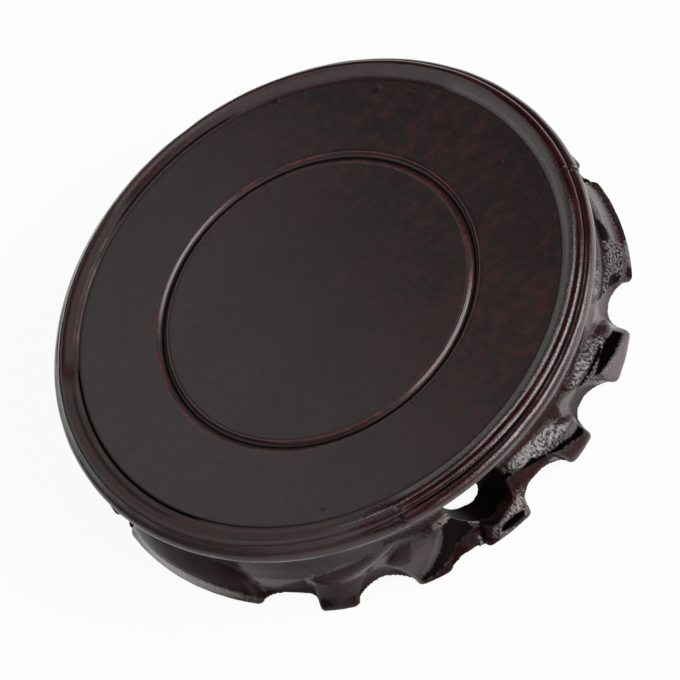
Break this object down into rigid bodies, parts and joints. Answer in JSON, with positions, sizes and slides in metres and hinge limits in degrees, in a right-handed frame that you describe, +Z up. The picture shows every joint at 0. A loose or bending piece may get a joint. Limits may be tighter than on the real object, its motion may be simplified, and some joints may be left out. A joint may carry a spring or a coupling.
{
  "type": "round display stand",
  "caption": "Low round display stand with a flat grooved top, a moulded raised rim and a carved ring base with flared scroll toes.",
  "frame": {"origin": "centre of the circle that the toes stand on, on the table", "axes": "+Z up through the middle of the top; -Y is the side with the pierced eye that faces the viewer, +X to the viewer's right"},
  "size_m": [0.1537, 0.1552, 0.0284],
  "materials": {
    "panel_lacquer": "semi-gloss dark red-brown lacquer",
    "rim_lacquer": "glossy dark red-brown lacquer, rubbed red on the arrises",
    "carved_lacquer": "glossy dark red-brown lacquer over open-pored carving",
    "bare_wood": "bare wood",
    "brad_steel": "plain wire"
  },
  "bodies": {
    "root": {"top_panel": "panel_lacquer", "rim_segment_1": "rim_lacquer", "rim_segment_2": "rim_lacquer", "rim_segment_3": "rim_lacquer", "rim_segment_4": "rim_lacquer", "rim_spline_1": "bare_wood", "rim_spline_2": "bare_wood", "rim_spline_3": "bare_wood", "rim_spline_4": "bare_wood", "ring_segment_1": "carved_lacquer", "ring_segment_2": "carved_lacquer", "ring_segment_3": "carved_lacquer", "ring_segment_4": "carved_lacquer", "ring_dowel_1": "bare_wood", "ring_dowel_2": "bare_wood", "ring_dowel_3": "bare_wood", "ring_dowel_4": "bare_wood", "panel_brad_1": "brad_steel", "panel_brad_2": "brad_steel", "panel_brad_3": "brad_steel", "panel_brad_4": "brad_steel", "panel_brad_5": "brad_steel", "panel_brad_6": "brad_steel"}
  },
  "joints": []
}
